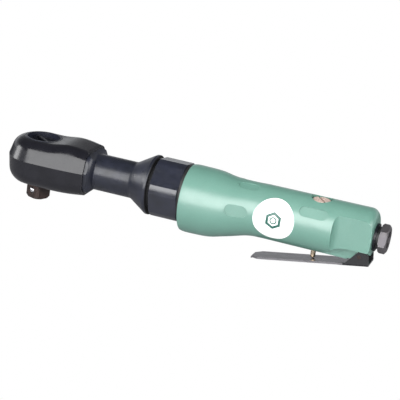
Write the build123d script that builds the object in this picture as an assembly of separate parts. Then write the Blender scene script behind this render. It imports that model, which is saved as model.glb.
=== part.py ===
from build123d import *
from math import acos, cos, pi, radians, sin, tan
import os

# Air ratchet with a half inch square drive. Millimetres, +Z up, +X from the head to the air inlet.
# Inside this file the motor axis is the X axis and the anvil turns about the Z axis. save() raises
# every piece by AXIS_HEIGHT, so that the origin is at the centre of the anvil's end face.
os.makedirs("parts", exist_ok=True)

# ---- driving dimensions ----
DRIVE_SQUARE = 12.7
DRIVE_CORNER_R = 8.25
BALL_R = 2.3                # detent ball in the drive square's side
BALL_Z = -22.6
BALL_OUT = DRIVE_SQUARE / 2 - BALL_R + 0.95
AXIS_HEIGHT = 28.3
DRIVE_TURN = -23.6          # the square's rest angle about Z, degrees
RUN_GAP = 0.06              # radial clearance of a running fit

HEAD_R = 23.0
HEAD_TOP_EDGE_R = 9.5
HEAD_LOW_EDGE_R = 11.0
HEAD_PARTING_Z = 2.0        # widest level of the head, where its mould halves meet
HEAD_UPPER_DRAFT = 17.0
HEAD_LOWER_DRAFT = 6.0
HEAD_TOP = 15.8
HEAD_CREST = 17.4
HEAD_BOTTOM = -17.1
HEAD_END_Z = 14.6
COVER_WALL = 1.7
SEAM_X = 39.7
RECESS_R = 11.5
COLLAR_R = 13.0             # bare steel collar round the knob's recess
COLLAR_TOP = 16.05

NECK_R = 12.75
NECK_BORE_R = 8.5
FLARE_START_X = 70.5
FLARE_END_X = 83.3
FLARE_R = 20.9
GROOVE_X = 86.0
NUT_X = 88.5
NUT_END_X = 108.6
NUT_LAND_R = 21.2
NUT_FLAT_R = 19.7
NUT_LAND_ANGLE = 9.0
THREAD_R = 17.0

GREEN_X = 111.0
GREEN_END_X = 242.5
BARREL_R = 18.3
BARREL_END_R = 18.6
MOUTH_R = 18.4
MOTOR_BORE_R = 15.9

GEAR_MODULE = 0.6
SUN_TEETH = 12
PLANET_TEETH = 15
RING_TEETH = 42
PRESSURE_ANGLE = 25.0
GEAR_BACKLASH = 0.07
GEAR_X0, GEAR_X1 = 98.2, 107.8
PLANET_ORBIT_R = GEAR_MODULE * (SUN_TEETH + PLANET_TEETH) / 2
PLANET_ANGLES = (90, 210, 330)

CRANK_THROW = 2.14
YOKE_ARM = 20.5
YOKE_TEETH = 60
YOKE_TIP_R = 11.5
YOKE_ROOT_R = 11.95
YOKE_R = 16.3
YOKE_HALF_H = 5.5
HEAD_BORE_R = 16.4
CAVITY_HALF_W = 12.9
CAVITY_HALF_H = 7.6
FORK_X1 = 24.2
FORK_HALF_W = 7.7
FORK_WALL = 2.3
BUSHING_R = 3.9

PAWL_PIVOT_R = 8.0
PAWL_ROCK = 6.4
PAWL_HALF_H = 3.0
KNOB_RIB_ANGLE = -41.5

ROTOR_X0, ROTOR_X1 = 124.1, 157.9
ROTOR_R = 12.3
LINER_BORE_R = 13.55
LINER_OFFSET = -1.1
BLADE_COUNT = 5
BEARING_R, BEARING_BORE_R, BEARING_W = 9.0, 4.0, 5.0
FRONT_PLATE_X = 117.3
REAR_PLATE_X = 158.0
REAR_PLATE_END_X = 164.5

PANEL_X, PANEL_Y, PANEL_RUN_OUT_R = 220.4, 13.3, 4.2
EXHAUST_R, EXHAUST_ORBIT_R = 1.2, 9.0
DEFLECTOR_R = 9.4
PILLS = (                   # x, angle, length, width, floor radius and slope of each recess
    (150.2, 4.5, 15.6, 7.9, 18.6, 7.5),
    (154.0, 68.0, 14.5, 7.2, 17.35, 0.0),
    (201.8, 36.0, 19.3, 7.2, 17.7, 0.0),
)

VALVE_X = 203.0
PIN_TIP_Z = -24.5
REGULATOR_BORE_R = 5.0
POCKET_R = 7.4
POCKET_FLOOR_Z = 14.3

PIVOT_X, PIVOT_Z = 235.5, -13.6
LEVER_SLOPE = 10.0
LEVER_TOP_Z = -18.9         # top of the plate below the pivot
LEVER_HALF_W = 7.0
LEVER_WALL = 1.4
LEVER_TIP_X = 161.5
LEVER_REAR_X = 242.6
LUG_HALF_W = 6.7
LUG_END_X = 239.3

BADGE_X, BADGE_R, BADGE_ANGLE, BADGE_WRAP = 176.6, 14.6, 3.2, 0.8
INLET_STUB_R = 7.6
INLET_HEX_X = 246.0
INLET_END_X = 251.5
INLET_HEX_FLAT = 17.4
INLET_BORE_R = 5.7
INLET_BORE_LENGTH = 10.0


# ---- helpers ----
def save(name, shape):
    """Write one sub-part, raised so that the anvil's end face is at z = 0."""
    export_step(Pos(0, 0, AXIS_HEIGHT) * shape, f"parts/{name}.step")


def rod(r, x0, x1, y=0, z=0):
    """A cylinder along X."""
    base = Cylinder(r, x1 - x0, align=(Align.CENTER, Align.CENTER, Align.MIN))
    return Pos(x0, y, z) * Rot(0, 90, 0) * base


def post(r, z0, z1, x=0, y=0):
    """A cylinder along Z."""
    base = Cylinder(r, z1 - z0, align=(Align.CENTER, Align.CENTER, Align.MIN))
    return Pos(x, y, z0) * base


def cross(r, y0, y1, x, z):
    """A cylinder along Y."""
    base = Cylinder(r, y1 - y0, align=(Align.CENTER, Align.CENTER, Align.MIN))
    return Pos(x, y1, z) * Rot(90, 0, 0) * base


def block(x0, x1, y0, y1, z0, z1):
    """A box between two opposite corners."""
    return Pos((x0 + x1) / 2, (y0 + y1) / 2, (z0 + z1) / 2) * Box(x1 - x0, y1 - y0, z1 - z0)


def turned(points):
    """A solid turned about the motor axis from (x, radius) points."""
    return revolve(make_face(Plane.XZ * Polyline(*points, close=True)), Axis.X)


def turned_z(points):
    """A solid turned about the anvil axis from (radius, z) points."""
    return revolve(make_face(Plane.XZ * Polyline(*points, close=True)), Axis.Z)


def side_plate(points, y0, y1):
    """A plate of outline (x, z) between two values of y."""
    face = make_face(Plane.XZ * Polyline(*points, close=True))
    return extrude(face, amount=40, both=True) & block(0, 300, y0, y1, -60, 60)


def spaced(shape, count, axis=Axis.X):
    """count copies of a shape, evenly turned about an axis."""
    return [shape.rotate(axis, 360 * i / count) for i in range(count)]


def tube(r, bore, x0, x1):
    """A ring round the motor axis, with a bore of radius bore."""
    return rod(r, x0, x1) - rod(bore, x0 - 1, x1 + 1)


def involute(angle):
    """The involute function."""
    return tan(angle) - angle


def gear_outline(teeth, tip_r, root_r, half_tooth, turn=0.0):
    """Points of an involute gear; half_tooth is half a tooth's thickness at the pitch circle."""
    pitch_r = GEAR_MODULE * teeth / 2
    base_r = pitch_r * cos(radians(PRESSURE_ANGLE))
    low_r = max(base_r, root_r)
    radii = [low_r + (tip_r - low_r) * i / 3 for i in range(4)]
    full = half_tooth / pitch_r + involute(radians(PRESSURE_ANGLE))
    flank = [(root_r, full - involute(acos(base_r / low_r)))]
    flank += [(r, full - involute(acos(min(1.0, base_r / r)))) for r in radii]
    if root_r >= base_r:
        flank = flank[1:]
    points = []
    for i in range(teeth):
        middle = 2 * pi * i / teeth + turn
        for r, a in flank:
            points.append((r * cos(middle - a), r * sin(middle - a)))
        for r, a in reversed(flank):
            points.append((r * cos(middle + a), r * sin(middle + a)))
    return points


def gear_prism(points, x0, x1, y=0, z=0):
    """Extrude outline points, measured in Y and Z, along X."""
    face = make_face(Plane.YZ * Polyline(*points, close=True))
    return Pos(x0, y, z) * extrude(face, amount=x1 - x0)


def coil_spring(r, wire, z0, z1, turns, x=0):
    """A closed coil spring along Z."""
    path = Helix(pitch=(z1 - z0 - 2 * wire) / turns, height=z1 - z0 - 2 * wire, radius=r)
    start = path @ 0
    profile = Plane(origin=start, z_dir=path % 0) * Circle(wire)
    return Pos(x, 0, z0 + wire) * sweep(profile, path=path)


# ---- head ----
def head_form(inset):
    """The head's rounded outer form, smaller by inset all round, running past the seam."""
    half = HEAD_R - inset
    end_x = SEAM_X + 7.0
    start_x = 10.0
    drop = (end_x - start_x) ** 2 / 400
    plan = [
        ThreePointArc((0, -half), (-half, 0), (0, half)),
        Line((0, half), (start_x, half)),
        TangentArc((start_x, half), (end_x, half - drop), tangent=(1, 0)),
        Line((end_x, half - drop), (end_x, drop - half)),
        TangentArc((start_x, -half), (end_x, drop - half), tangent=(1, 0)),
        Line((start_x, -half), (0, -half)),
    ]
    top = Spline((8, HEAD_TOP - inset), (21.5, HEAD_CREST - inset), (end_x, HEAD_END_Z - inset),
                 tangents=((1, 0), (1, -0.14)))
    low = Spline((18, HEAD_BOTTOM + inset), (end_x, -HEAD_END_Z + inset), tangents=((1, 0), (1, 0.16)))
    front = -HEAD_R - 1
    side = [
        Line((front, HEAD_TOP - inset), (8, HEAD_TOP - inset)),
        top,
        Line((end_x, HEAD_END_Z - inset), (end_x, -HEAD_END_Z + inset)),
        low,
        Line((18, HEAD_BOTTOM + inset), (front, HEAD_BOTTOM + inset)),
        Line((front, HEAD_BOTTOM + inset), (front, HEAD_TOP - inset)),
    ]
    outline = make_face(plan)
    upper = extrude(outline, amount=20, taper=HEAD_UPPER_DRAFT).mirror(Plane.XY)
    lower = extrude(outline, amount=20, taper=HEAD_LOWER_DRAFT)
    slab = Pos(0, 0, HEAD_PARTING_Z) * (upper + lower)
    band = extrude(make_face([Plane.XZ * e for e in side]), amount=30, both=True)
    form = slab & band
    form = fillet([e for e in form.edges() if on_rim(e, end_x, 1)], HEAD_TOP_EDGE_R - inset)
    return fillet([e for e in form.edges() if on_rim(e, end_x, -1)], HEAD_LOW_EDGE_R - inset)


def on_rim(edge, end_x, side):
    """True for the edges where the head's top (side 1) or bottom (side -1) meets its walls."""
    box = edge.bounding_box()
    middle = edge @ 0.5
    outer = middle.X < end_x - 0.01 and middle.Z * side > 11
    return outer and box.size.Z < 4 and box.size.Y < 2 * HEAD_R - 8


def head_cover():
    """The moulded boot over the head, open at the knob, at the anvil and at the rear."""
    shell = head_form(0) & block(-40, SEAM_X, -40, 40, -40, 40)
    shell -= head_form(COVER_WALL)
    knob_hole = post(COLLAR_R + RUN_GAP, 5, 20)
    anvil_hole = turned_z([(0, -5), (17.3, -5), (17.3, -16.3), (20.3, -19.3), (0, -19.3)])
    return shell - knob_hole - anvil_hole


def shoulder_form():
    """The convex end that limits the housing's head where it shows behind the cover."""
    edges = [
        Line((-40, 0), (-40, 40)),
        Line((-40, 40), (SEAM_X - 2, 40)),
        Line((SEAM_X - 2, 40), (SEAM_X - 2, 20.4)),
        ThreePointArc((SEAM_X - 2, 20.4), (SEAM_X + 2.4, 18.4), (SEAM_X + 4.8, 13.9)),
        Line((SEAM_X + 4.8, 13.9), (SEAM_X + 4.8, 0)),
        Line((SEAM_X + 4.8, 0), (-40, 0)),
    ]
    return revolve(make_face([Plane.XZ * e for e in edges]), Axis.X)


def ratchet_housing():
    """Forged head, neck, flare and threaded spigot, bored for the yoke, the crank and the gears."""
    head = head_form(COVER_WALL) & shoulder_form()
    root_x = SEAM_X + 4.8
    stem = turned([
        (root_x - 6, 0), (root_x - 6, NECK_R), (FLARE_START_X, NECK_R), (FLARE_START_X + 1.2, NECK_R + 0.4),
        (FLARE_END_X, FLARE_R - 0.5), (FLARE_END_X + 0.8, FLARE_R), (GROOVE_X - 0.4, FLARE_R),
        (GROOVE_X, FLARE_R - 0.4), (GROOVE_X, THREAD_R + 0.6), (NUT_X, THREAD_R + 0.6), (NUT_X, THREAD_R),
        (97.8, THREAD_R), (97.8, 0),
    ])
    body = head + stem
    joint = [e for e in body.edges() if e.geom_type == GeomType.CIRCLE and abs(e.radius - NECK_R) < 0.01
             and abs(e.arc_center.X - root_x) < 0.01]
    body = fillet(joint, 1.1)
    body += turned_z([(0, 12), (COLLAR_R, 12), (COLLAR_R, COLLAR_TOP - 0.4), (COLLAR_R - 0.4, COLLAR_TOP),
                      (0, COLLAR_TOP)])
    body -= turned_z([(0, -30), (HEAD_BORE_R, -30), (HEAD_BORE_R, -11.85), (17.4, -11.85), (17.4, -10.6),
                      (HEAD_BORE_R, -10.6), (HEAD_BORE_R, 6.6), (RECESS_R, 6.6), (RECESS_R, 30), (0, 30)])
    body -= block(10, 26.6, -CAVITY_HALF_W, CAVITY_HALF_W, -CAVITY_HALF_H, CAVITY_HALF_H)
    body -= rod(NECK_BORE_R, 20, 90)
    return body - rod(13.6, 90, 99)


def thrust_plate():
    """Bearing plate under the yoke that carries the anvil's lower journal."""
    return turned_z([(10.4 + RUN_GAP, -10.6), (HEAD_BORE_R, -10.6), (HEAD_BORE_R, -5.8), (13.3, -5.8),
                     (13.3, -7.3), (10.4 + RUN_GAP, -7.3)])


def retaining_ring():
    """Open spring ring that holds the thrust plate in the head."""
    ring = turned_z([(14.4, -11.8), (17.3, -11.8), (17.3, -10.65), (14.4, -10.65)])
    return ring - block(10, 20, -3.5, 3.5, -15, -10)


def ratchet_yoke():
    """Ring with fine internal teeth and a fork that the crank swings."""
    body = post(YOKE_R, -YOKE_HALF_H, YOKE_HALF_H)
    body += block(0, FORK_X1, -FORK_HALF_W - FORK_WALL, FORK_HALF_W + FORK_WALL, -YOKE_HALF_H, YOKE_HALF_H)
    body = chamfer(body.edges().filter_by(Axis.Z).group_by(Axis.X)[-1], 0.8)
    body -= block(16.0, FORK_X1 + 1, -FORK_HALF_W, FORK_HALF_W, -6, 6)
    teeth = make_face(Polyline(*yoke_space_points(0), close=True))
    return body - Pos(0, 0, -6) * extrude(teeth, amount=12)


def yoke_space_points(gap):
    """Outline of the toothed opening, drawn in by gap: fine V teeth with small flats."""
    points = []
    step = 2 * pi / YOKE_TEETH
    flat = 0.06 / YOKE_TIP_R
    for i in range(YOKE_TEETH):
        middle = step * i
        for turn, r in ((-step / 2 - flat, YOKE_TIP_R), (-step / 2 + flat, YOKE_TIP_R),
                        (-flat, YOKE_ROOT_R), (flat, YOKE_ROOT_R)):
            a = middle + turn
            points.append(((r - gap) * cos(a), (r - gap) * sin(a)))
    return points


def drive_plug(z0, z1):
    """The half inch square with its turned corners."""
    square = Rot(0, 0, DRIVE_TURN) * block(-DRIVE_SQUARE / 2, DRIVE_SQUARE / 2, -DRIVE_SQUARE / 2,
                                           DRIVE_SQUARE / 2, z0, z1)
    corner = turned_z([(0, z0), (DRIVE_CORNER_R - 1.3, z0), (DRIVE_CORNER_R, z0 + 1.6),
                       (DRIVE_CORNER_R, z1), (0, z1)])
    return square & corner


def ball_axis_point(distance, z):
    """A point on the detent ball's axis, at a distance from the anvil axis."""
    a = radians(DRIVE_TURN - 90)
    return Pos(distance * cos(a), distance * sin(a), z)


def ball_hole():
    """Cross hole for the detent ball and its spring."""
    hole = Cylinder(BALL_R + RUN_GAP, 9, align=(Align.CENTER, Align.CENTER, Align.MIN))
    return ball_axis_point(0.2, BALL_Z) * Rot(0, 0, DRIVE_TURN - 90) * Rot(0, 90, 0) * hole


def ratchet_anvil():
    """Drive square, journals and the slotted body that carries the pawl."""
    body = turned_z([
        (0, -16.2), (9.2, -16.2), (10.4, -15.0), (10.4, -7.2), (13.2, -7.2), (13.2, -5.75), (11.2, -5.75),
        (11.2, 6.0), (11.42, 6.0), (11.42, 8.8), (0, 8.8),
    ])
    body += drive_plug(-AXIS_HEIGHT, -16.1)
    body -= block(1.5, 14, -14, 14, -3.1, 3.1)
    body -= post(4.75, -3.1, 9)
    body -= post(1.25, -5.0, 6, x=PAWL_PIVOT_R)
    return body - ball_hole()


def detent_ball():
    """Ball that holds the socket on the drive square."""
    return ball_axis_point(BALL_OUT, BALL_Z) * Sphere(BALL_R)


def detent_spring():
    """Small coil behind the detent ball."""
    coil = coil_spring(1.6, 0.25, 0.3, BALL_OUT - BALL_R, 4)
    return ball_axis_point(0, BALL_Z) * Rot(0, 0, DRIVE_TURN - 90) * Rot(0, 90, 0) * coil


def pawl_outline():
    """The pawl as a flat face: a rocking segment with teeth cut at both ends."""
    disc = Circle(YOKE_TIP_R - 0.3)
    cheeks = Pos(10.4, 0) * Rectangle(10, 40)
    middle = Pos(4.4, 0) * Rectangle(2.6, 10.4)
    shape = (disc & cheeks) + middle - Circle(4.6)
    pivot = Pos(PAWL_PIVOT_R, 0)
    teeth = make_face(Polyline(*yoke_space_points(0.07), close=True))
    for side in (-1, 1):
        swung = pivot * Rot(0, 0, side * PAWL_ROCK) * Pos(-PAWL_PIVOT_R, 0) * teeth
        shape = shape & swung
    return shape - pivot * Circle(1.25 + RUN_GAP)


def ratchet_pawl():
    """Double-ended pawl that rocks between the two directions."""
    return Pos(0, 0, -PAWL_HALF_H) * extrude(pawl_outline(), amount=2 * PAWL_HALF_H)


def pawl_pin():
    """Pin the pawl rocks on."""
    return post(1.25, -5.0, 5.6, x=PAWL_PIVOT_R)


def reverse_knob():
    """Knob in the head's recess: a disc with a raised diagonal rib over a stem."""
    disc = turned_z([(0, 8.95), (RECESS_R - 0.12, 8.95), (RECESS_R - 0.12, 11.6), (RECESS_R - 0.8, 12.3),
                     (RECESS_R - 2.2, 12.3), (RECESS_R - 3.2, 11.5), (0, 11.5)])
    rib = block(-9.2, 8.2, -1.0, 1.0, 10.5, 14.6)
    rib = chamfer(rib.edges().filter_by(Axis.X).group_by(Axis.Z)[-1], 0.35)
    flare = extrude(Pos(0, 0, 10.5) * make_face(Polyline((2.2, 0), (8.4, 3.1), (8.4, -3.1), close=True)),
                    amount=3.4)
    grip = Rot(0, 0, KNOB_RIB_ANGLE) * (rib + flare)
    stem = post(3.55, -3.0, 9.2) + post(4.6, 3.4, 9.2)
    body = disc + (grip & post(RECESS_R - 0.6, 5, 20)) + stem
    return body - rod(1.56, -2.4, 6)


def reverse_plunger():
    """Sprung plunger in the knob's stem that pushes the pawl over."""
    body = rod(1.5, 1.2, 4.3)
    return chamfer(body.edges().group_by(Axis.X)[-1], 0.4)


def plunger_spring():
    """Spring behind the reverse plunger."""
    return Rot(0, 90, 0) * coil_spring(1.05, 0.2, -2.3, 1.2, 4)


# ---- crank and reduction gear ----
def crankshaft():
    """Planet carrier, journals and the eccentric pin, straight up at rest."""
    body = turned([
        (26.9, 0), (26.9, 6.0), (40.5, 6.0), (40.5, 7.2), (74.5, 7.2), (74.5, 6.0), (88.5, 6.0),
        (88.5, 8.2), (91.2, 8.2), (91.2, 12.9), (96.6, 12.9), (96.6, 5.2), (91.0, 5.2), (91.0, 0),
    ])
    body += rod(2.3, 17.2, 27.5, z=CRANK_THROW)
    for angle in PLANET_ANGLES:
        body -= rod(1.5, 92.6, 98, y=PLANET_ORBIT_R).rotate(Axis.X, angle)
    return body


def drive_bushing():
    """Barrel shaped bushing on the eccentric pin, inside the yoke's fork."""
    body = turned([(17.5, 2.36), (17.5, 3.2), (18.4, 3.75), (20.5, BUSHING_R), (22.6, 3.75), (23.5, 3.2),
                   (23.5, 2.36)])
    return Pos(0, 0, CRANK_THROW) * body


def neck_bush(x0, x1):
    """Plain bush for the crankshaft, from x0 to x1."""
    return tube(NECK_BORE_R, 6.0 + RUN_GAP, x0, x1)


def planet_pins():
    """The carrier's three pins."""
    return [rod(1.5, 92.6, 107.4, y=PLANET_ORBIT_R).rotate(Axis.X, a) for a in PLANET_ANGLES]


def half_tooth(pull):
    """Half a tooth's thickness at the pitch circle, thinned by pull."""
    return pi * GEAR_MODULE / 4 - pull


def planet_gear(angle):
    """One planet, with a tooth space turned to the sun."""
    pitch_r = GEAR_MODULE * PLANET_TEETH / 2
    turn = radians(angle + 180) + pi / PLANET_TEETH
    outline = gear_outline(PLANET_TEETH, pitch_r + 0.48, pitch_r - 0.7, half_tooth(GEAR_BACKLASH), turn)
    y = PLANET_ORBIT_R * cos(radians(angle))
    z = PLANET_ORBIT_R * sin(radians(angle))
    wheel = gear_prism(outline, GEAR_X0 + 0.3, GEAR_X1 - 0.6, y, z)
    return wheel - rod(1.5 + RUN_GAP, GEAR_X0 - 2, GEAR_X1 + 2, y, z)


def ring_gear():
    """Internal gear held in the clamp nut."""
    pitch_r = GEAR_MODULE * RING_TEETH / 2
    outline = gear_outline(RING_TEETH, pitch_r + 0.7, pitch_r - 0.48, half_tooth(-GEAR_BACKLASH),
                           pi / RING_TEETH)
    return rod(16.4, GEAR_X0, GEAR_X1) - gear_prism(outline, GEAR_X0 - 1, GEAR_X1 + 1)


def gear_spacer():
    """Ring between the ring gear and the motor's front plate."""
    return tube(16.4, 12.0, GEAR_X1, 110.0)


def clamp_nut():
    """Nut between the ratchet housing and the motor housing, with six wrench flats and narrow lands."""
    band = turned([
        (NUT_X, 0), (NUT_X, NUT_LAND_R - 0.4), (NUT_X + 0.4, NUT_LAND_R), (NUT_END_X - 0.4, NUT_LAND_R),
        (NUT_END_X, NUT_LAND_R - 0.4), (NUT_END_X, MOUTH_R), (FRONT_PLATE_X, MOUTH_R), (FRONT_PLATE_X, 0),
    ])
    side = 2 * NUT_FLAT_R * tan(radians(30))
    hexagon = make_face(Plane.YZ * Polyline(*hexagon_points(side, 180 - NUT_LAND_ANGLE), close=True))
    band &= Pos(NUT_X - 1, 0, 0) * extrude(hexagon, amount=60)
    band -= rod(THREAD_R, NUT_X - 1, 97.8)
    band -= rod(16.4, 97, 110)
    return band - rod(13.2, 109, FRONT_PLATE_X + 1)


def hexagon_points(side, turn):
    """Corners of a hexagon of a given side, the first at an angle of turn degrees."""
    return [(side * cos(radians(turn + 60 * i)), side * sin(radians(turn + 60 * i))) for i in range(6)]


def clamp_washer():
    """Soft washer squeezed between the nut and the handle."""
    return tube(19.6, MOUTH_R, NUT_END_X, GREEN_X)


# ---- air motor ----
def front_end_plate():
    """Motor end plate with the front bearing's seat."""
    body = turned([
        (FRONT_PLATE_X, BEARING_R), (FRONT_PLATE_X, MOTOR_BORE_R), (124.0, MOTOR_BORE_R), (124.0, 4.6),
        (FRONT_PLATE_X + BEARING_W, 4.6), (FRONT_PLATE_X + BEARING_W, BEARING_R),
    ])
    return body


def rear_end_plate():
    """Motor end plate with the rear bearing's seat."""
    pocket_x = REAR_PLATE_END_X - BEARING_W
    body = turned([
        (REAR_PLATE_X, 4.6), (REAR_PLATE_X, MOTOR_BORE_R), (REAR_PLATE_END_X, MOTOR_BORE_R),
        (REAR_PLATE_END_X, BEARING_R), (pocket_x, BEARING_R), (pocket_x, 4.6),
    ])
    for port in spaced(rod(1.6, REAR_PLATE_X - 1, REAR_PLATE_END_X + 1, y=11.9), 4):
        body -= port
    return body


def motor_cylinder():
    """Liner with its bore set off the motor axis and a row of exhaust ports."""
    body = rod(MOTOR_BORE_R, 124.0, REAR_PLATE_X) - rod(LINER_BORE_R, 123, 159, z=LINER_OFFSET)
    for i in range(5):
        body -= cross(1.4, 0, 20, 130.0 + 5.5 * i, LINER_OFFSET)
    return body


def rotor():
    """Rotor with blade slots, its journals and the sun pinion cut on its nose."""
    pitch_r = GEAR_MODULE * SUN_TEETH / 2
    pinion = gear_outline(SUN_TEETH, pitch_r + 0.48, pitch_r - 0.7, half_tooth(GEAR_BACKLASH))
    body = rod(ROTOR_R, ROTOR_X0, ROTOR_X1)
    for slot in spaced(block(ROTOR_X0 - 1, ROTOR_X1 + 1, -0.95, 0.95, 6.8, 14), BLADE_COUNT):
        body -= slot
    body += rod(BEARING_BORE_R, 110.2, ROTOR_X0) + rod(BEARING_BORE_R, ROTOR_X1, REAR_PLATE_END_X - 0.2)
    return body + gear_prism(pinion, 98.8, 110.4)


def rotor_blades():
    """Five sliding blades in the rotor's slots."""
    return spaced(block(ROTOR_X0 + 0.1, ROTOR_X1 - 0.1, -0.88, 0.88, 6.9, ROTOR_R - 0.05), BLADE_COUNT)


def bearing_outer(x0):
    """Outer ring, caged balls and shield of a ball bearing: the pieces that stay with the end plate."""
    x1 = x0 + BEARING_W
    ring = tube(BEARING_R, 7.6, x0, x1)
    groove = revolve(Pos(x0 + BEARING_W / 2, 0, 6.5) * Rot(90, 0, 0) * Circle(1.62), Axis.X)
    balls = spaced(Pos(x0 + BEARING_W / 2, 0, 6.5) * Sphere(1.5), 8)
    return [ring - groove] + balls


def bearing_inner(x0):
    """Inner ring that turns with the rotor."""
    ring = tube(5.4, BEARING_BORE_R, x0 + 0.05, x0 + BEARING_W - 0.05)
    return ring - revolve(Pos(x0 + BEARING_W / 2, 0, 6.5) * Rot(90, 0, 0) * Circle(1.62), Axis.X)


# ---- motor housing ----
def green_form():
    """The grip's outer form: a full front end set low, a waist, and a straight barrel."""
    stations = [
        (GREEN_X, -3.0, 23.1), (GREEN_X + 2.0, -3.05, 23.45), (121.0, -3.1, 23.5), (129.0, -3.05, 23.2),
        (134.0, -2.95, 22.5), (139.0, -2.75, 21.35), (145.0, -2.2, 20.3), (151.0, -1.3, 19.4),
        (157.0, -0.5, 18.6), (163.0, -0.1, BARREL_R), (168.0, 0.0, BARREL_R),
    ]
    rings = [Plane(origin=(x, 0, z), x_dir=(0, 1, 0), z_dir=(1, 0, 0)) * Circle(r) for x, z, r in stations]
    front = loft(rings)
    end_r = 6.2
    edges = [
        Line((168.0, 0), (168.0, BARREL_R)),
        Line((168.0, BARREL_R), (GREEN_END_X - end_r, BARREL_END_R)),
        ThreePointArc((GREEN_END_X - end_r, BARREL_END_R),
                      (GREEN_END_X - end_r * 0.293, BARREL_END_R - end_r * 0.293),
                      (GREEN_END_X, BARREL_END_R - end_r)),
        Line((GREEN_END_X, BARREL_END_R - end_r), (GREEN_END_X, 0)),
        Line((GREEN_END_X, 0), (168.0, 0)),
    ]
    return front + revolve(make_face([Plane.XZ * e for e in edges]), Axis.X)


def pill_cut(x, angle, length, width, floor_r, slope):
    """Cutter for a shallow pill shaped recess on the -Y side, angle degrees above the horizontal.

    Its floor follows the grip's own slope, in degrees."""
    pill = extrude(Plane(origin=(0, 0, 0), x_dir=(1, 0, 0), z_dir=(0, -1, 0)) * SlotOverall(length, width),
                   amount=6)
    return (Pos(x, -floor_r, 0) * Rot(0, 0, slope) * pill).rotate(Axis.X, -angle)


def badge_cut(r, depth_r):
    """Cutter of the badge's outline, from a radius outwards. It is a little lower than wide, because
    a round label wraps round the barrel."""
    disc = extrude(Ellipse(r, r - BADGE_WRAP), amount=20)
    return (Pos(BADGE_X, -depth_r, 0) * Rot(90, 0, 0) * disc).rotate(Axis.X, -BADGE_ANGLE)


def motor_housing():
    """Grip with the motor bore, the throttle's cross bore, the inlet bore and the lever's lug."""
    body = green_form()
    cuts = [
        rod(MOUTH_R, GREEN_X - 1, FRONT_PLATE_X),
        rod(MOTOR_BORE_R, FRONT_PLATE_X - 1, REAR_PLATE_END_X),
        rod(9.5, REAR_PLATE_END_X - 1, 168.0),
        rod(3.0, 167, VALVE_X, z=-6.4),
        post(POCKET_R, POCKET_FLOOR_Z, 25, x=VALVE_X),
        post(REGULATOR_BORE_R, -9.0, 20, x=VALVE_X),
        post(4.4, -25, -8, x=VALVE_X),
        rod(3.6, VALVE_X, 222),
        rod(6.4, 221, GREEN_END_X + 1),
    ]
    for angle in (45, 135, 225, 315):
        cuts.append(rod(EXHAUST_R, 167.0, GREEN_END_X + 1, y=EXHAUST_ORBIT_R).rotate(Axis.X, angle))
    for side in (-1, 1):
        y0, y1 = sorted((side * PANEL_Y, side * 30))
        cuts.append(block(PANEL_X, 260, y0, y1, -30, 30))
        run_out_y = PANEL_Y + PANEL_RUN_OUT_R
        cuts.append(post(PANEL_RUN_OUT_R, -30, 30, x=PANEL_X, y=side * run_out_y))
        y0, y1 = sorted((side * run_out_y, side * 30))
        cuts.append(block(PANEL_X - PANEL_RUN_OUT_R, PANEL_X + 1, y0, y1, -30, 30))
        y0, y1 = sorted((side * LUG_HALF_W, side * 30))
        cuts.append(cross(26, y0, y1, 229, -34.5))
        cuts.append(block(229, 260, y0, y1, -40, -8.5))
    cuts.append(block(227.5, 260, -30, 30, -30, -16.5))
    cuts.append(block(LUG_END_X, 260, -30, 30, -30, -11.2))
    cuts.append(cross(1.3, -30, 30, PIVOT_X, PIVOT_Z))
    for x, angle, length, width, floor_r, slope in PILLS:
        pill = pill_cut(x, angle, length, width, floor_r, slope)
        cuts += [pill, pill.mirror(Plane.XZ)]
    cuts.append(badge_cut(BADGE_R, 10) - rod(BARREL_R - 0.3, 150, 200))
    for cut in cuts:
        body -= cut
    return body


def badge():
    """Plain round label in a shallow seat on the grip's side."""
    shell = rod(BARREL_R + 0.15, 150, 200) - rod(BARREL_R - 0.3, 149, 201)
    return badge_cut(BADGE_R - 0.1, 10) & shell


def exhaust_deflector():
    """Slotted ring on the rear face, round the inlet, partly over the exhaust holes."""
    ring = tube(DEFLECTOR_R, INLET_STUB_R + 0.1, GREEN_END_X, GREEN_END_X + 1.6)
    for notch in spaced(block(GREEN_END_X + 0.6, GREEN_END_X + 3, -0.8, 0.8, 8.7, 13), 12):
        ring -= notch
    return ring


# ---- throttle ----
def throttle_bushing():
    """Brass guide for the valve pin."""
    return post(4.4, -17.6, -9.0, x=VALVE_X) - post(1.7 + RUN_GAP, -20, -8, x=VALVE_X)


def throttle_seat():
    """Brass seat that the valve closes on."""
    return post(REGULATOR_BORE_R, -7.4, -4.2, x=VALVE_X) - post(3.0, -8, -4, x=VALVE_X)


def valve_pin():
    """Brass push pin with a round nose on the lever."""
    body = post(1.7, PIN_TIP_Z, -4.15, x=VALVE_X)
    rounded = post(1.7, PIN_TIP_Z + 1.6, 0, x=VALVE_X) + Pos(VALVE_X, 0, PIN_TIP_Z + 1.75) * Sphere(1.75)
    return body & rounded


def throttle_valve():
    """Valve disc that lifts off its seat, with a neck for its seal and a boss for the spring."""
    body = post(2.9, -4.15, -3.2, x=VALVE_X) + post(4.2, -3.3, -1.6, x=VALVE_X)
    return body + post(2.2, -1.7, -0.4, x=VALVE_X)


def valve_oring():
    """Soft ring under the valve's head."""
    section = Pos(VALVE_X + 3.36, 0, -3.75) * Rot(90, 0, 0) * Circle(0.42)
    return revolve(section, Axis((VALVE_X, 0, 0), (0, 0, 1)))


def throttle_spring():
    """Spring that shuts the valve."""
    return coil_spring(3.2, 0.35, -1.58, 8.45, 6, x=VALVE_X)


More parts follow.
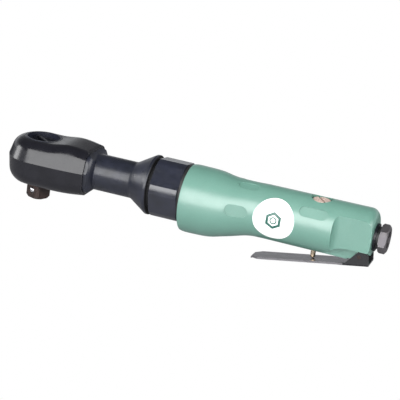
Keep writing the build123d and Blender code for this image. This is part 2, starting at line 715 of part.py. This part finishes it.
def air_regulator():
    """Slotted regulator screw in the top pocket, with a metering skirt."""
    body = post(4.94, 8.5, POCKET_FLOOR_Z + 0.1, x=VALVE_X)
    head = post(6.1, POCKET_FLOOR_Z + 0.05, 16.9, x=VALVE_X)
    head = chamfer(head.edges().group_by(Axis.Z)[-1], 0.4)
    slot = Pos(VALVE_X, 0, 0) * Rot(0, 0, -57) * block(-8, 8, -0.7, 0.7, 15.6, 18)
    groove = post(6, 10.6, 12.2, x=VALVE_X) - post(4.05, 10, 13, x=VALVE_X)
    return body + head - slot - groove


def regulator_oring():
    """Soft ring in the regulator's groove."""
    section = Pos(VALVE_X + 4.52, 0, 11.4) * Rot(90, 0, 0) * Circle(0.44)
    return revolve(section, Axis((VALVE_X, 0, 0), (0, 0, 1)))


def lever_z(x):
    """Height of the lever plate's top at x."""
    return LEVER_TOP_Z - (PIVOT_X - x) * tan(radians(LEVER_SLOPE))


def throttle_lever():
    """Pressed steel lever: a flat arm with a pointed nose and two ears at the pivot."""
    nose_x = LEVER_TIP_X
    rear_z = lever_z(LEVER_REAR_X)
    half = LEVER_HALF_W + LEVER_WALL
    plate = side_plate([
        (nose_x, lever_z(nose_x) - 0.9), (nose_x + 1.0, lever_z(nose_x + 1.0)),
        (LEVER_REAR_X, rear_z), (LEVER_REAR_X, rear_z - LEVER_WALL),
        (nose_x + 1.6, lever_z(nose_x + 1.6) - LEVER_WALL), (nose_x, lever_z(nose_x) - 2.2),
    ], -half, half)
    wide_x = 226.0
    plan = make_face(Polyline(
        (nose_x, -3.2), (nose_x + 5.5, -LEVER_HALF_W), (wide_x - 4, -LEVER_HALF_W), (wide_x, -half),
        (LEVER_REAR_X, -half), (LEVER_REAR_X, half), (wide_x, half), (wide_x - 4, LEVER_HALF_W),
        (nose_x + 5.5, LEVER_HALF_W), (nose_x, 3.2), close=True))
    body = plate & extrude(plan, amount=60, both=True)
    ear = [
        (225.2, lever_z(225.2) - LEVER_WALL), (233.2, -11.9), (234.6, -10.6), (238.8, -10.0),
        (241.6, -11.2), (LEVER_REAR_X, rear_z - LEVER_WALL),
    ]
    body += side_plate(ear, -half, -LEVER_HALF_W) + side_plate(ear, LEVER_HALF_W, half)
    bottom = body.edges().filter_by(GeomType.LINE)
    bottom = [e for e in bottom if abs(abs((e @ 0.5).Y) - half) < 0.01 and (e @ 0.5).X > wide_x
              and e.length > 12 and (e @ 0.5).Z < -19]
    body = fillet(bottom, 1.2)
    return body - cross(1.3 + RUN_GAP, -20, 20, PIVOT_X, PIVOT_Z)


def lever_pin():
    """Pivot pin pressed through the housing's lug, ends just proud of the ears."""
    half = LEVER_HALF_W + LEVER_WALL + 0.35
    return cross(1.3, -half, half, PIVOT_X, PIVOT_Z)


# ---- air inlet ----
def inlet_bushing():
    """Hexagon air inlet with its stub in the housing and a threaded bore."""
    corner = INLET_HEX_FLAT / cos(radians(30)) / 2
    hexagon = make_face(Plane.YZ * Polyline(*hexagon_points(corner, 180 + 18), close=True))
    head = Pos(INLET_HEX_X, 0, 0) * extrude(hexagon, amount=INLET_END_X - INLET_HEX_X)
    head &= turned([(INLET_HEX_X, 0), (INLET_HEX_X, corner - 0.9), (INLET_HEX_X + 0.9, corner),
                    (INLET_END_X - 1.1, corner), (INLET_END_X, corner - 1.5), (INLET_END_X, 0)])
    body = head + rod(INLET_STUB_R, GREEN_END_X, INLET_HEX_X) + rod(6.4, 224.5, GREEN_END_X)
    body -= rod(3.6, 200, 260)
    return body - rod(INLET_BORE_R, INLET_END_X - INLET_BORE_LENGTH, 260)


def inlet_screen():
    """Fine screen disc held behind the inlet bushing."""
    disc = rod(6.4, 222.0, 222.6)
    for ring in range(1, 4):
        for i in range(6 * ring):
            a = 2 * pi * i / (6 * ring)
            disc -= rod(0.4, 221, 223, y=1.45 * ring * cos(a), z=1.45 * ring * sin(a))
    return disc - rod(0.4, 221, 223)


def inlet_gasket():
    """Flat gasket behind the inlet's screen."""
    return tube(6.4, 4.2, 222.6, 224.5)


PIECES = {
    "head_cover": head_cover,
    "ratchet_housing": ratchet_housing,
    "thrust_plate": thrust_plate,
    "retaining_ring": retaining_ring,
    "ratchet_yoke": ratchet_yoke,
    "ratchet_anvil": ratchet_anvil,
    "detent_ball": detent_ball,
    "detent_spring": detent_spring,
    "ratchet_pawl": ratchet_pawl,
    "pawl_pin": pawl_pin,
    "reverse_knob": reverse_knob,
    "reverse_plunger": reverse_plunger,
    "plunger_spring": plunger_spring,
    "crankshaft": crankshaft,
    "drive_bushing": drive_bushing,
    "neck_bush_front": lambda: neck_bush(30, 40),
    "neck_bush_rear": lambda: neck_bush(76, 88),
    "planet_pins": planet_pins,
    "planet_gear_1": lambda: planet_gear(PLANET_ANGLES[0]),
    "planet_gear_2": lambda: planet_gear(PLANET_ANGLES[1]),
    "planet_gear_3": lambda: planet_gear(PLANET_ANGLES[2]),
    "ring_gear": ring_gear,
    "gear_spacer": gear_spacer,
    "clamp_nut": clamp_nut,
    "clamp_washer": clamp_washer,
    "front_end_plate": front_end_plate,
    "rear_end_plate": rear_end_plate,
    "motor_cylinder": motor_cylinder,
    "rotor": rotor,
    "rotor_blades": rotor_blades,
    "front_bearing": lambda: bearing_outer(FRONT_PLATE_X),
    "front_bearing_inner_ring": lambda: bearing_inner(FRONT_PLATE_X),
    "rear_bearing": lambda: bearing_outer(REAR_PLATE_END_X - BEARING_W),
    "rear_bearing_inner_ring": lambda: bearing_inner(REAR_PLATE_END_X - BEARING_W),
    "motor_housing": motor_housing,
    "badge": badge,
    "exhaust_deflector": exhaust_deflector,
    "throttle_bushing": throttle_bushing,
    "throttle_seat": throttle_seat,
    "valve_pin": valve_pin,
    "throttle_valve": throttle_valve,
    "valve_oring": valve_oring,
    "throttle_spring": throttle_spring,
    "air_regulator": air_regulator,
    "regulator_oring": regulator_oring,
    "throttle_lever": throttle_lever,
    "lever_pin": lever_pin,
    "inlet_bushing": inlet_bushing,
    "inlet_screen": inlet_screen,
    "inlet_gasket": inlet_gasket,
}

for name, make in PIECES.items():
    made = make()
    if isinstance(made, list):
        made = Compound(made)
    save(name, made)
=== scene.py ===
import bpy
from math import cos, pi, radians, sin, tau
from mathutils import Matrix, Vector


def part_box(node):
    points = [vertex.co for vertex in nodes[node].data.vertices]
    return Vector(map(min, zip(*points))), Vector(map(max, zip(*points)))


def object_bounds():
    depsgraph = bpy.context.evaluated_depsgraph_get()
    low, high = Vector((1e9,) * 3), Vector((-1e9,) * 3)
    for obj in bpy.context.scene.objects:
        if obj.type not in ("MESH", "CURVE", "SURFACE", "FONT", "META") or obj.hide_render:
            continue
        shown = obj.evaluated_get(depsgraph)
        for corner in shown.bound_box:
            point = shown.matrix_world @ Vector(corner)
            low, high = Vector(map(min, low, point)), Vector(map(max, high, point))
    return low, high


# Looks of an air ratchet: camera, light, one procedural finish for each kind of surface, and a
# plain floor. Metres, in the frame's own axes.
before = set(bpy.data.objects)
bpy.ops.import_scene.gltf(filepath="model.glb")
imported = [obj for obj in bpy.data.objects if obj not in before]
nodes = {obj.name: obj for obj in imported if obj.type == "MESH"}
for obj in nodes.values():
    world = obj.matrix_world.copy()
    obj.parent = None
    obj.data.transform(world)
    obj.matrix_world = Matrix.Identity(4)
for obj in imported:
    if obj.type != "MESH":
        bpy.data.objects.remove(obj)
cad_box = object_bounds()
MM = 0.001

# ---- where things are, read from the frame ----
barrel_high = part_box("motor_housing")[1]
badge_low, badge_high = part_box("badge")
lever_low, lever_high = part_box("throttle_lever")
clamp_low, clamp_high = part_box("clamp_washer")
housing_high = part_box("ratchet_housing")[1]
nut_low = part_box("clamp_nut")[0]
screw_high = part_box("air_regulator")[1]
AXIS_Z = (clamp_low.z + clamp_high.z) / 2
LENGTH = cad_box[1].x - cad_box[0].x
HEAD_X = 17 * MM                 # the knob's ring lies in front of this
SEAM_RISE = 2 * MM               # the boot's parting line, above the motor axis
STUB_LENGTH = 3.5 * MM           # part of the inlet painted near-black, behind the handle
EAR_SHADE_LENGTH = 17.5 * MM           # part of the lever's sides painted near-black as shade, from its rear end
KEY_REACH = 0.62
FLOOR_DROP = 0.10
FLOOR_RADIUS = 2.4


# ---- camera ----
VIEW_AZIMUTH = radians(16.5)
VIEW_ELEVATION = radians(18)
VIEW_ROLL = radians(8.076)
VIEW_DISTANCE = 1.024791
LOOK_AT = Vector((0.119317, 0, AXIS_Z - 3.136 * MM))


def place_camera():
    back = Vector((sin(VIEW_AZIMUTH) * cos(VIEW_ELEVATION),
                   -cos(VIEW_AZIMUTH) * cos(VIEW_ELEVATION),
                   sin(VIEW_ELEVATION)))
    level = Vector((cos(VIEW_AZIMUTH), sin(VIEW_AZIMUTH), 0))
    above = back.cross(level)
    right = level * cos(VIEW_ROLL) + above * sin(VIEW_ROLL)
    up = above * cos(VIEW_ROLL) - level * sin(VIEW_ROLL)
    data = bpy.data.cameras.new("camera")
    data.lens = 135
    data.sensor_width = 36
    camera = bpy.data.objects.new("camera", data)
    turn = Matrix((right, up, back)).transposed().to_4x4()
    camera.matrix_world = Matrix.Translation(LOOK_AT + back * VIEW_DISTANCE) @ turn
    bpy.context.scene.collection.objects.link(camera)
    bpy.context.scene.camera = camera


# ---- nodes of a material ----
def add_node(tree, kind, settings=None, inputs=None):
    """A shader node with its settings, and with its inputs linked or set."""
    made = tree.nodes.new("ShaderNode" + kind)
    for key, value in (settings or {}).items():
        setattr(made, key, value)
    for key, value in (inputs or {}).items():
        if isinstance(value, bpy.types.NodeSocket):
            tree.links.new(value, made.inputs[key])
        else:
            made.inputs[key].default_value = value
    return made


class Finish:
    """A procedural surface round one Principled shader. Textures run in object metres."""

    def __init__(self, name, colour, roughness, metallic=0.0, ior=1.5):
        self.material = bpy.data.materials.new(name)
        self.material.use_nodes = True
        self.tree = self.material.node_tree
        self.shader = self.tree.nodes["Principled BSDF"]
        self.shader.inputs["Metallic"].default_value = metallic
        self.shader.inputs["IOR"].default_value = ior
        self.place = self.add("TexCoord").outputs["Object"]
        self.apart = self.add("SeparateXYZ", None, {0: self.place})
        self.colour = None
        self.roughness = None
        self.normal = None
        self.metal = None
        self.base = (*colour, 1.0)
        self.rough = roughness

    def add(self, kind, settings=None, inputs=None):
        return add_node(self.tree, kind, settings, inputs)

    def noise(self, size, stretch=(1, 1, 1), detail=3.0, roughness=0.5):
        """Noise with features of about size metres, longer along the stretched axes."""
        scale = [1 / (size * s) for s in stretch]
        place = self.add("Mapping", None, {"Vector": self.place, "Scale": scale})
        made = self.add("TexNoise", None, {
            "Vector": place.outputs[0], "Scale": 1.0, "Detail": detail, "Roughness": roughness})
        return made.outputs["Fac"]

    def cells(self, size):
        made = self.add("TexVoronoi", None, {"Vector": self.place, "Scale": 1 / size})
        return made.outputs["Distance"]

    def span(self, value, low, high, to_low=0.0, to_high=1.0):
        """value from low..high mapped to to_low..to_high, clamped."""
        made = self.add("MapRange", {"clamp": True}, {
            "Value": value, "From Min": low, "From Max": high, "To Min": to_low, "To Max": to_high})
        return made.outputs[0]

    def along(self, axis):
        """The object's own coordinate along X, Y or Z, in metres."""
        return self.apart.outputs[axis]

    def above(self, axis, level, soft=0.1 * MM):
        """1 where the coordinate is above level, 0 below."""
        return self.span(self.along(axis), level - soft, level + soft)

    def between(self, axis, low, high, soft=0.1 * MM):
        """1 where the coordinate lies between low and high."""
        under = self.span(self.along(axis), high - soft, high + soft, 1.0, 0.0)
        return self.maths("MULTIPLY", self.above(axis, low, soft), under)

    def maths(self, operation, a, b=0.0):
        return self.add("Math", {"operation": operation}, {0: a, 1: b}).outputs[0]

    def mix(self, share, a, b, blend="MIX"):
        made = self.add("Mix", {"data_type": "RGBA", "blend_type": blend}, {0: share, 6: a, 7: b})
        return made.outputs[2]

    def vary(self, size, amount, tint=(1, 1, 1), stretch=(1, 1, 1)):
        """Clouds of lighter and darker colour over the base colour."""
        share = self.span(self.noise(size, stretch), 0.3, 0.7)
        now = self.colour or self.base
        dark = tuple(c * (1 - amount) for c in self.base[:3])
        light = tuple(min(1.0, c * (1 + amount) * t) for c, t in zip(self.base[:3], tint))
        if self.colour is None:
            self.colour = self.mix(share, (*dark, 1), (*light, 1))
        else:
            grey = self.mix(share, (1 - amount,) * 3 + (1,), (*[t for t in tint], 1))
            self.colour = self.mix(1.0, now, grey, "MULTIPLY")

    def paint(self, share, colour):
        """Another colour where share is 1."""
        self.colour = self.mix(share, self.colour or self.base, (*colour, 1))

    def rub(self, share, roughness):
        """Another roughness where share is 1."""
        now = self.roughness if self.roughness is not None else self.rough
        made = self.add("Mix", {"data_type": "FLOAT"}, {0: share, 2: now, 3: roughness})
        self.roughness = made.outputs[0]

    def smudge(self, size, low, high, stretch=(1, 1, 1)):
        """Roughness that wanders between low and high."""
        self.roughness = self.span(self.noise(size, stretch, 4.0), 0.32, 0.68, low, high)

    def bump(self, height, depth, strength=1.0):
        """Relief of depth metres."""
        inputs = {"Height": height, "Distance": depth, "Strength": strength}
        if self.normal is not None:
            inputs["Normal"] = self.normal
        self.normal = self.add("Bump", None, inputs).outputs[0]

    def edges(self, radius, low=0.03, high=0.25):
        """1 on edges sharper than about radius metres, 0 on smooth faces."""
        soft = self.add("Bevel", {"samples": 4}, {"Radius": radius}).outputs[0]
        flat = self.add("NewGeometry").outputs["Normal"]
        dot = self.add("VectorMath", {"operation": "DOT_PRODUCT"}, {0: soft, 1: flat})
        bent = self.maths("SUBTRACT", 1.0, dot.outputs["Value"])
        return self.span(bent, low, high)

    def scratches(self, size, length, amount, axis=0):
        """Fine lines along one axis. amount is the share of the surface they take."""
        stretch = [1, 1, 1]
        stretch[axis] = length / size
        lines = self.noise(size, stretch, 2.0)
        return self.span(lines, 0.5 + (1 - amount) * 0.22, 0.5 + (1 - amount) * 0.22 + 0.05)

    def wear(self, radius, amount, colour, roughness):
        """Edges rubbed through to another colour, in broken patches."""
        patches = self.span(self.noise(0.9 * MM, detail=5.0), 0.42, 0.62)
        share = self.maths("MULTIPLY", self.maths("MULTIPLY", self.edges(radius), patches), amount)
        self.paint(share, colour)
        self.rub(share, roughness)
        return share

    def done(self):
        sockets = self.shader.inputs
        sockets["Base Color"].default_value = self.base
        sockets["Roughness"].default_value = self.rough
        if self.colour is not None:
            self.tree.links.new(self.colour, sockets["Base Color"])
        if self.roughness is not None:
            self.tree.links.new(self.roughness, sockets["Roughness"])
        if self.normal is not None:
            self.tree.links.new(self.normal, sockets["Normal"])
        if self.metal is not None:
            self.tree.links.new(self.metal, sockets["Metallic"])
        return self.material


# ---- finishes ----
def boot_black():
    """Moulded black boot over the ratchet head: smooth, a little greasy, scuffed on its edges."""
    f = Finish("boot_black", (0.006, 0.006, 0.0085), 0.22, ior=1.48)
    f.vary(14 * MM, 0.18)
    f.smudge(7 * MM, 0.17, 0.27)
    f.bump(f.noise(0.35 * MM, detail=4.0), 0.006 * MM)
    f.bump(f.noise(9 * MM), 0.05 * MM)
    f.wear(0.5 * MM, 0.75, (0.13, 0.13, 0.14), 0.42)
    scuff = f.scratches(0.12 * MM, 5 * MM, 0.12)
    f.rub(scuff, 0.5)
    seam_z = AXIS_Z + SEAM_RISE
    seam = f.between("Z", seam_z - 0.15 * MM, seam_z + 0.15 * MM, 0.12 * MM)
    f.bump(seam, 0.05 * MM)
    return f.done()


def black_oxide(name="black_oxide", ior=1.5, depth=1.0):
    """Blued steel: dark, slightly violet, with a satin turned surface."""
    f = Finish(name, [c * depth for c in (0.0105, 0.012, 0.018)], 0.34, ior=ior)
    f.vary(9 * MM, 0.25, (1.0, 1.0, 1.12))
    f.smudge(4 * MM, 0.27, 0.38)
    turned = f.noise(0.16 * MM, (1, 40, 40), 2.0)
    f.bump(turned, 0.003 * MM)
    f.bump(f.noise(0.25 * MM, detail=4.0), 0.003 * MM)
    f.wear(0.35 * MM, 0.35, (0.07, 0.075, 0.09), 0.33)
    return f


def housing_steel():
    """Blued neck and flare, with a bare ring round the knob and painted shade, near-black, in the groove
    before the nut.
    """
    f = black_oxide("housing_steel", 1.5)
    rim = f.above("Z", housing_high.z - 0.7 * MM)
    on_head = f.span(f.along("X"), HEAD_X - 1 * MM, HEAD_X + 1 * MM, 1.0, 0.0)
    ring = f.maths("MULTIPLY", rim, on_head)
    f.paint(ring, (0.62, 0.62, 0.64))
    f.rub(ring, 0.22)
    f.metal = ring
    # painted shade: the groove before the nut is painted near-black and rough
    groove_shade = f.between("X", nut_low.x - 2.7 * MM, nut_low.x + 0.1 * MM)
    f.paint(groove_shade, (0.002, 0.002, 0.003))
    f.rub(groove_shade, 0.8)
    return f.done()


def nut_steel():
    """Glossier blued steel of the clamp nut's wrench flats."""
    f = black_oxide("nut_steel", 1.66)
    f.smudge(4 * MM, 0.17, 0.26)
    return f.done()


def knob_black():
    """Black reversing knob, glossy from fingers, with its rib rubbed grey."""
    f = black_oxide("knob_black", 1.38, 0.35)
    f.wear(0.5 * MM, 0.7, (0.16, 0.16, 0.17), 0.3)
    return f.done()


def inlet_steel():
    """Satin plated hexagon, with the stub before it painted near-black."""
    f = Finish("inlet_steel", (0.125, 0.118, 0.122), 0.5, metallic=0.9)
    f.vary(5 * MM, 0.12, (1.0, 1.0, 1.05))
    f.smudge(2.5 * MM, 0.42, 0.58)
    f.bump(f.noise(0.14 * MM, (30, 1, 30), 2.0), 0.004 * MM)
    f.wear(0.35 * MM, 0.8, (0.30, 0.29, 0.295), 0.4)
    stub_end = barrel_high.x + STUB_LENGTH
    stub = f.span(f.along("X"), stub_end - 0.1 * MM, stub_end + 0.1 * MM, 1.0, 0.0)
    f.paint(stub, (0.006, 0.007, 0.008))
    f.rub(stub, 0.5)
    f.metal = f.span(stub, 0.0, 1.0, 0.75, 0.0)
    return f.done()


def green_paint():
    """Mint green satin enamel on the cast handle, with the faint orange peel of a sprayed coat."""
    f = Finish("green_paint", (0.100, 0.222, 0.178), 0.34, ior=1.78)
    f.vary(22 * MM, 0.035, (1.02, 1.0, 1.0))
    f.vary(1.1 * MM, 0.05)
    f.vary(0.45 * MM, 0.06)
    f.smudge(6 * MM, 0.31, 0.40)
    f.bump(f.noise(1.4 * MM, detail=2.0), 0.012 * MM)
    f.bump(f.noise(0.22 * MM, detail=2.0), 0.003 * MM)
    f.wear(0.35 * MM, 0.35, (0.42, 0.56, 0.50), 0.42)
    specks = f.span(f.noise(0.5 * MM, detail=1.0), 0.77, 0.80)
    f.paint(f.maths("MULTIPLY", specks, 0.5), (0.05, 0.12, 0.10))
    return f.done()


def bright_steel():
    f = Finish("bright_steel", (0.72, 0.72, 0.74), 0.14, metallic=1.0)
    f.vary(3 * MM, 0.06)
    f.smudge(1.5 * MM, 0.09, 0.2)
    f.bump(f.noise(0.15 * MM), 0.0015 * MM)
    f.rub(f.scratches(0.05 * MM, 2 * MM, 0.2), 0.35)
    return f.done()


def tool_steel():
    """Hardened drive square, dark from the quench and rubbed lighter on its corners."""
    f = Finish("tool_steel", (0.042, 0.034, 0.032), 0.36, metallic=0.6)
    f.vary(5 * MM, 0.4, (1.15, 0.95, 0.9))
    f.smudge(2 * MM, 0.26, 0.44)
    f.bump(f.noise(0.3 * MM, detail=5.0), 0.010 * MM)
    f.wear(0.5 * MM, 1.0, (0.22, 0.20, 0.19), 0.28)
    f.rub(f.scratches(0.08 * MM, 4 * MM, 0.2, axis=2), 0.2)
    return f.done()


def gear_steel():
    f = Finish("gear_steel", (0.46, 0.455, 0.45), 0.3, metallic=1.0)
    f.vary(3 * MM, 0.15, (1.03, 1.0, 0.95))
    f.smudge(1.8 * MM, 0.2, 0.38)
    f.bump(f.noise(0.12 * MM, (8, 1, 1)), 0.003 * MM)
    f.wear(0.25 * MM, 0.8, (0.66, 0.65, 0.63), 0.2)
    return f.done()


def cast_steel():
    f = Finish("cast_steel", (0.33, 0.33, 0.34), 0.46, metallic=1.0)
    f.vary(4 * MM, 0.2)
    f.smudge(2 * MM, 0.36, 0.55)
    f.bump(f.noise(0.4 * MM, detail=5.0), 0.02 * MM)
    f.bump(f.noise(0.12 * MM, (1, 30, 30)), 0.004 * MM)
    f.wear(0.3 * MM, 0.7, (0.52, 0.52, 0.53), 0.3)
    return f.done()


def lever_steel():
    """Pressed throttle lever: brushed bare plate, with painted shade, near-black, on its hinge ears."""
    f = Finish("lever_steel", (0.30, 0.29, 0.305), 0.30, metallic=1.0)
    grain = f.noise(0.10 * MM, (160, 1, 1), 3.0)
    f.vary(12 * MM, 0.10, stretch=(3, 1, 1))
    f.colour = f.mix(f.span(grain, 0.35, 0.65, 0.0, 0.35), f.colour, (0.46, 0.45, 0.465, 1))
    f.smudge(3 * MM, 0.24, 0.36, stretch=(6, 1, 1))
    f.bump(grain, 0.004 * MM)
    f.wear(0.35 * MM, 0.6, (0.66, 0.65, 0.66), 0.2)
    # painted shade: the hinge ears over the rear of the lever are painted near-black, rough and not
    # metallic
    half = (lever_high.y - lever_low.y) / 2
    side = f.span(f.maths("ABSOLUTE", f.along("Y")), half - 1.75 * MM, half - 1.6 * MM)
    ear_shade_span = f.between("X", lever_high.x - EAR_SHADE_LENGTH, lever_high.x - 0.1 * MM, 0.3 * MM)
    ear_shade = f.maths("MULTIPLY", side, ear_shade_span)
    f.paint(ear_shade, (0.005, 0.005, 0.007))
    f.rub(ear_shade, 0.5)
    f.metal = f.maths("SUBTRACT", 1.0, ear_shade)
    return f.done()


def brass():
    f = Finish("brass", (0.52, 0.44, 0.33), 0.24, metallic=1.0)
    f.vary(2.5 * MM, 0.14, (1.05, 0.98, 0.9))
    f.smudge(1.5 * MM, 0.16, 0.34)
    f.bump(f.noise(0.1 * MM, (12, 12, 1)), 0.003 * MM)
    f.wear(0.2 * MM, 0.7, (0.86, 0.70, 0.42), 0.15)
    return f.done()


def copper_screw():
    """Plated regulator screw, pinkish, with turning rings and handled edges, and painted shade,
    near-black, below its top in the slot and opening.
    """
    f = Finish("copper_screw", (0.66, 0.50, 0.43), 0.34, metallic=0.35)
    f.vary(2.2 * MM, 0.10, (1.04, 1.0, 0.98))
    f.smudge(1.2 * MM, 0.18, 0.36)
    f.bump(f.noise(0.10 * MM, detail=3.0), 0.004 * MM)
    f.wear(0.2 * MM, 0.8, (0.80, 0.68, 0.62), 0.22)
    # painted shade: the screw is painted near-black from just under its top downwards, in its slot and
    # its opening
    slot_shade = f.span(f.along("Z"), screw_high.z - 1.35 * MM, screw_high.z - 1.1 * MM, 1.0, 0.0)
    f.paint(slot_shade, (0.006, 0.004, 0.004))
    f.rub(slot_shade, 0.7)
    return f.done()


def rubber():
    f = Finish("rubber", (0.013, 0.013, 0.013), 0.6)
    f.vary(2 * MM, 0.3)
    f.smudge(1.2 * MM, 0.48, 0.7)
    f.bump(f.noise(0.15 * MM, detail=4.0), 0.012 * MM)
    return f.done()


def blade_fibre():
    """Phenolic fibre blades, brown with fine threads."""
    f = Finish("blade_fibre", (0.22, 0.11, 0.05), 0.5)
    f.vary(3 * MM, 0.25)
    threads = f.noise(0.12 * MM, (12, 1, 1))
    f.paint(f.span(threads, 0.5, 0.7, 0.0, 0.5), (0.34, 0.19, 0.09))
    f.smudge(1 * MM, 0.4, 0.6)
    f.bump(threads, 0.008 * MM)
    return f.done()


def sintered_bronze():
    f = Finish("sintered_bronze", (0.48, 0.33, 0.18), 0.42, metallic=1.0)
    f.vary(2 * MM, 0.2)
    pores = f.span(f.cells(0.22 * MM), 0.1, 0.3)
    f.colour = f.mix(pores, (0.16, 0.10, 0.05, 1), f.colour)
    f.smudge(1 * MM, 0.34, 0.52)
    f.bump(pores, 0.012 * MM)
    return f.done()


def label_white():
    """Round self-adhesive label: white film with a thin printed ring and a plain hexagon nut sign."""
    f = Finish("label_white", (0.86, 0.86, 0.85), 0.3)
    f.vary(6 * MM, 0.03)
    f.smudge(5 * MM, 0.24, 0.34)
    f.bump(f.noise(0.9 * MM, detail=2.0), 0.002 * MM)
    centre = (badge_low + badge_high) / 2
    radius = (badge_high.x - badge_low.x) / 2
    right = f.maths("SUBTRACT", f.along("X"), centre.x)
    up = f.maths("SUBTRACT", f.along("Z"), centre.z)
    out = f.maths("SQRT", f.maths("ADD", f.maths("MULTIPLY", right, right), f.maths("MULTIPLY", up, up)))

    def band(value, low, high):
        soft = 0.05 * MM
        lower = f.span(value, low - soft, low + soft)
        return f.maths("MULTIPLY", lower, f.span(value, high - soft, high + soft, 1.0, 0.0))

    across = None
    for turn in (0, 60, 120):
        tilted = f.maths("ADD", f.maths("MULTIPLY", right, cos(radians(turn))),
                         f.maths("MULTIPLY", up, sin(radians(turn))))
        width = f.maths("ABSOLUTE", tilted)
        across = width if across is None else f.maths("MAXIMUM", across, width)
    ink = (0.02, 0.09, 0.07)
    f.paint(f.span(out, radius - 0.50 * MM, radius - 0.40 * MM), (0.30, 0.42, 0.38))
    f.paint(band(across, 3.4 * MM, 5.2 * MM), ink)
    f.paint(band(out, 1.6 * MM, 2.5 * MM), ink)
    return f.done()


finishes = {
    "boot_black": boot_black(),
    "black_oxide_steel": nut_steel(),
    "green_paint": green_paint(),
    "bright_steel": bright_steel(),
    "tool_steel": tool_steel(),
    "gear_steel": gear_steel(),
    "cast_steel": cast_steel(),
    "brushed_lever_steel": lever_steel(),
    "brass": brass(),
    "copper_screw": copper_screw(),
    "rubber": rubber(),
    "blade_fibre": blade_fibre(),
    "sintered_bronze": sintered_bronze(),
    "label_white": label_white(),
}


own_finishes = {
    "ratchet_housing": housing_steel(),
    "reverse_knob": knob_black(),
    "inlet_bushing": inlet_steel(),
    "exhaust_deflector": black_oxide("deflector_black", 1.45, 0.5).done(),
}


def dress_frame():
    """Each CAD node gets its own finish, or the finish of its material slot."""
    for name, part in nodes.items():
        slots = part.data.materials
        for i, old in enumerate(slots):
            slots[i] = own_finishes.get(name) or finishes[old.name.split(".")[0]]


# ---- light and floor ----
def soft_box(name, centre, target, width, height, radiance, colour=(1, 1, 1)):
    """A rectangular light that faces target. radiance is its brightness, with white paper at 1."""
    data = bpy.data.lights.new(name, "AREA")
    data.shape = "RECTANGLE"
    data.size = width
    data.size_y = height
    data.energy = radiance * pi * width * height
    data.color = colour
    lamp = bpy.data.objects.new(name, data)
    facing = (Vector(target) - Vector(centre)).to_track_quat("-Z", "Y")
    lamp.matrix_world = Matrix.Translation(centre) @ facing.to_matrix().to_4x4()
    lamp.visible_camera = False
    bpy.context.scene.collection.objects.link(lamp)
    return lamp


def light_studio():
    middle = Vector((cad_box[0].x + LENGTH / 2, 0, AXIS_Z))
    aim = middle + Vector((-0.06, 0, 0))

    def front(elevation):
        lift = radians(elevation)
        return aim + Vector((0, -KEY_REACH * cos(lift), KEY_REACH * sin(lift)))

    soft_box("key_box", front(22), aim, 0.95, 0.50, 5.6)
    low = soft_box("low_fill", front(-4), aim, 0.95, 0.16, 2.2)
    high = soft_box("high_fill", front(76), aim, 0.95, 0.50, 1.9)
    low.visible_glossy = False
    high.visible_glossy = False
    soft_box("right_box", middle + Vector((0.80, -0.12, 0.28)), middle, 0.55, 0.45, 5.0)
    soft_box("left_box", middle + Vector((-0.80, -0.14, 0.14)), middle, 0.28, 0.26, 6.5)
    world = bpy.data.worlds.new("studio")
    bpy.context.scene.world = world
    world.use_nodes = True
    tree = world.node_tree
    tree.nodes.clear()
    toward = add_node(tree, "TexCoord").outputs["Generated"]
    height = add_node(tree, "SeparateXYZ", None, {0: toward}).outputs["Z"]
    fade = add_node(tree, "ValToRGB", None, {"Fac": height})
    ramp = fade.color_ramp
    steps = ((0.0, 0.5), (0.02, 1.0), (0.16, 0.95), (0.24, 0.45), (0.42, 0.16), (1.0, 0.11))
    while len(ramp.elements) < len(steps):
        ramp.elements.new(0.5)
    for element, (place, grey) in zip(ramp.elements, steps):
        element.position = place
        element.color = (grey * 0.95, grey * 0.97, grey, 1)
    room = add_node(tree, "Background", None, {"Color": fade.outputs[0], "Strength": 1.0})
    backdrop = add_node(tree, "Background", None, {"Color": (1, 1, 1, 1), "Strength": 1.0})
    path = add_node(tree, "LightPath")
    both = add_node(tree, "MixShader", None, {
        0: path.outputs["Is Camera Ray"], 1: room.outputs[0], 2: backdrop.outputs[0]})
    add_node(tree, "OutputWorld", None, {"Surface": both.outputs[0]})


def lay_floor():
    """A pale round sweep well below the tool, clear when seen from underneath."""
    count = 96
    turns = [tau * i / count for i in range(count)]
    ring = [(FLOOR_RADIUS * cos(turn), FLOOR_RADIUS * sin(turn), 0) for turn in turns]
    mesh = bpy.data.meshes.new("floor")
    mesh.from_pydata(ring, [], [list(range(count))])
    floor = bpy.data.objects.new("floor", mesh)
    floor.location = (LENGTH / 2, 0, cad_box[0].z - FLOOR_DROP)
    bpy.context.scene.collection.objects.link(floor)
    material = bpy.data.materials.new("floor")
    material.use_nodes = True
    tree = material.node_tree
    tree.nodes.clear()
    dim = add_node(tree, "BsdfDiffuse", None, {"Color": (0.30, 0.30, 0.31, 1)}).outputs[0]
    pale = add_node(tree, "Emission", None, {"Color": (1, 1, 1, 1), "Strength": 1.0}).outputs[0]
    seen = add_node(tree, "LightPath").outputs["Is Camera Ray"]
    top = add_node(tree, "MixShader", None, {0: seen, 1: dim, 2: pale}).outputs[0]
    under = add_node(tree, "NewGeometry").outputs["Backfacing"]
    clear = add_node(tree, "BsdfTransparent").outputs[0]
    both = add_node(tree, "MixShader", None, {0: under, 1: top, 2: clear})
    add_node(tree, "OutputMaterial", None, {"Surface": both.outputs[0]})
    mesh.materials.append(material)


place_camera()
light_studio()
lay_floor()
dress_frame()
bpy.context.scene.view_settings.view_transform = "Standard"
